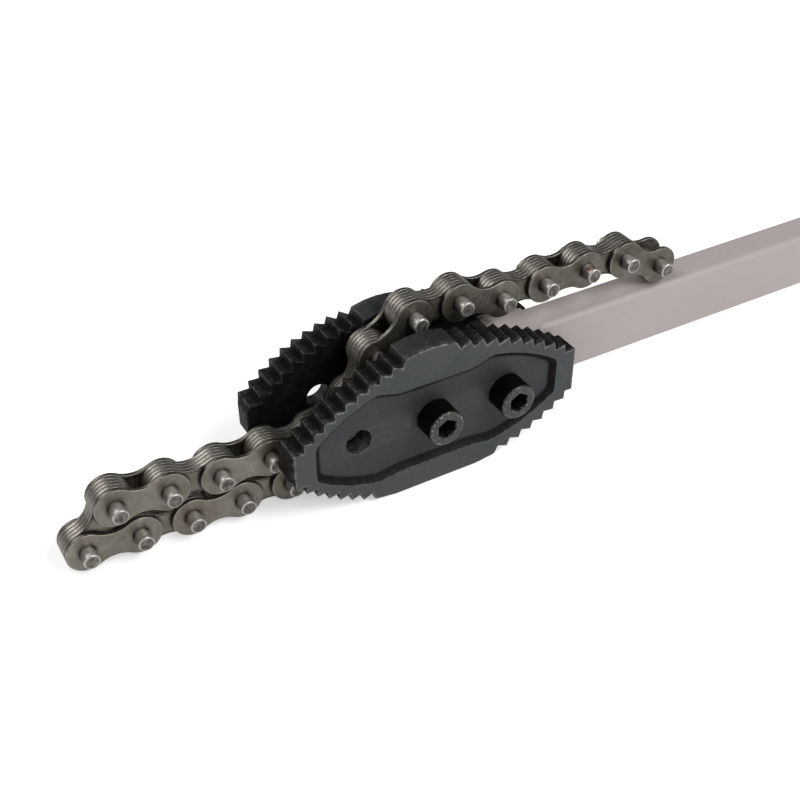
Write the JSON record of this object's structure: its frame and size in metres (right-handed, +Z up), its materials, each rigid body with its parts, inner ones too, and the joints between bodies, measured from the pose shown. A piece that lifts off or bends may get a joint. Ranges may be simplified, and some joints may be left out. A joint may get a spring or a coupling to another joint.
{
  "type": "chain pipe wrench",
  "caption": "Chain pipe wrench: toothed double-ended jaw plates bolted to a bar handle, with a hinged leaf chain that wraps a pipe and hooks between the jaws.",
  "frame": {"origin": "centre of the footprint, at the height of the jaws' lowest faces", "axes": "+X along the handle away from the jaws, +Y towards the nuts, +Z up"},
  "size_m": [0.9203, 0.0786, 0.0927],
  "materials": {
    "handle_paint": "matt beige-grey paint",
    "jaw_black": "black phosphate on a forging",
    "screw_black": "black oxide",
    "chain_steel": "oiled dark steel",
    "pin_steel": "bare steel, worn"
  },
  "bodies": {
    "wrench": {"handle": "handle_paint", "near_jaw": "jaw_black", "far_jaw": "jaw_black", "centre_screw": "screw_black", "rear_screw": "screw_black", "centre_nut": "screw_black", "rear_nut": "screw_black", "anchor_pin": "pin_steel"},
    "link_01": {"inner_link_01": "chain_steel"},
    "link_02": {"outer_link_01": "chain_steel", "link_pins_01": "pin_steel"},
    "link_03": {"inner_link_02": "chain_steel"},
    "link_04": {"outer_link_02": "chain_steel", "link_pins_02": "pin_steel"},
    "link_05": {"inner_link_03": "chain_steel"},
    "link_06": {"outer_link_03": "chain_steel", "link_pins_03": "pin_steel"},
    "link_07": {"inner_link_04": "chain_steel"},
    "link_08": {"outer_link_04": "chain_steel", "link_pins_04": "pin_steel"},
    "link_09": {"inner_link_05": "chain_steel"},
    "link_10": {"outer_link_05": "chain_steel", "link_pins_05": "pin_steel"},
    "link_11": {"inner_link_06": "chain_steel"},
    "link_12": {"outer_link_06": "chain_steel", "link_pins_06": "pin_steel"},
    "link_13": {"inner_link_07": "chain_steel"},
    "link_14": {"outer_link_07": "chain_steel", "link_pins_07": "pin_steel"},
    "link_15": {"inner_link_08": "chain_steel"},
    "link_16": {"outer_link_08": "chain_steel", "link_pins_08": "pin_steel"},
    "link_17": {"inner_link_09": "chain_steel"},
    "link_18": {"outer_link_09": "chain_steel", "link_pins_09": "pin_steel"},
    "link_19": {"inner_link_10": "chain_steel"},
    "link_20": {"outer_link_10": "chain_steel", "link_pins_10": "pin_steel"}
  },
  "joints": [
    {"name": "hinge_01", "type": "hinge", "parent": "wrench", "child": "link_01", "pos_m": [-0.29965, 0, 0.0204], "axis": [0, -1, 0], "range_deg": [0, 25]},
    {"name": "hinge_02", "type": "hinge", "parent": "link_01", "child": "link_02", "pos_m": [-0.32299, 0, 0.01039], "axis": [0, 1, 0], "range_deg": [-25, 0]},
    {"name": "hinge_03", "type": "hinge", "parent": "link_02", "child": "link_03", "pos_m": [-0.34839, 0, 0.01039], "axis": [0, -1, 0], "range_deg": [0, 25]},
    {"name": "hinge_04", "type": "hinge", "parent": "link_03", "child": "link_04", "pos_m": [-0.37379, 0, 0.01039], "axis": [0, 1, 0], "range_deg": [-25, 0]},
    {"name": "hinge_05", "type": "hinge", "parent": "link_04", "child": "link_05", "pos_m": [-0.39919, 0, 0.01084], "axis": [0, -1, 0], "range_deg": [0, 25]},
    {"name": "hinge_06", "type": "hinge", "parent": "link_05", "child": "link_06", "pos_m": [-0.42458, 0, 0.01172], "axis": [0, 1, 0], "range_deg": [-30, 0]},
    {"name": "hinge_07", "type": "hinge", "parent": "link_06", "child": "link_07", "pos_m": [-0.44995, 0, 0.01283], "axis": [0, -1, 0], "range_deg": [0, 60]},
    {"name": "hinge_08", "type": "hinge", "parent": "link_07", "child": "link_08", "pos_m": [-0.43362, 0, 0.03229], "axis": [0, 1, 0], "range_deg": [-60, 0]},
    {"name": "hinge_09", "type": "hinge", "parent": "link_08", "child": "link_09", "pos_m": [-0.40829, 0, 0.03052], "axis": [0, -1, 0], "range_deg": [0, 25]},
    {"name": "hinge_10", "type": "hinge", "parent": "link_09", "child": "link_10", "pos_m": [-0.38292, 0, 0.02919], "axis": [0, 1, 0], "range_deg": [-25, 0]},
    {"name": "hinge_11", "type": "hinge", "parent": "link_10", "child": "link_11", "pos_m": [-0.35752, 0, 0.02941], "axis": [0, -1, 0], "range_deg": [0, 30]},
    {"name": "hinge_12", "type": "hinge", "parent": "link_11", "child": "link_12", "pos_m": [-0.33213, 0, 0.02985], "axis": [0, 1, 0], "range_deg": [-30, 0]},
    {"name": "hinge_13", "type": "hinge", "parent": "link_12", "child": "link_13", "pos_m": [-0.31082, 0, 0.04369], "axis": [0, -1, 0], "range_deg": [0, 30]},
    {"name": "hinge_14", "type": "hinge", "parent": "link_13", "child": "link_14", "pos_m": [-0.29929, 0, 0.06632], "axis": [0, 1, 0], "range_deg": [-30, 0]},
    {"name": "hinge_15", "type": "hinge", "parent": "link_14", "child": "link_15", "pos_m": [-0.27901, 0, 0.0816], "axis": [0, -1, 0], "range_deg": [0, 30]},
    {"name": "hinge_16", "type": "hinge", "parent": "link_15", "child": "link_16", "pos_m": [-0.25362, 0, 0.08249], "axis": [0, 1, 0], "range_deg": [-30, 0]},
    {"name": "hinge_17", "type": "hinge", "parent": "link_16", "child": "link_17", "pos_m": [-0.22887, 0, 0.07678], "axis": [0, -1, 0], "range_deg": [0, 35]},
    {"name": "hinge_18", "type": "hinge", "parent": "link_17", "child": "link_18", "pos_m": [-0.20348, 0, 0.07722], "axis": [0, 1, 0], "range_deg": [-35, 0]},
    {"name": "hinge_19", "type": "hinge", "parent": "link_18", "child": "link_19", "pos_m": [-0.17808, 0, 0.07766], "axis": [0, -1, 0], "range_deg": [0, 40]},
    {"name": "hinge_20", "type": "hinge", "parent": "link_19", "child": "link_20", "pos_m": [-0.15274, 0, 0.07589], "axis": [0, 1, 0], "range_deg": [-60, 0]}
  ]
}
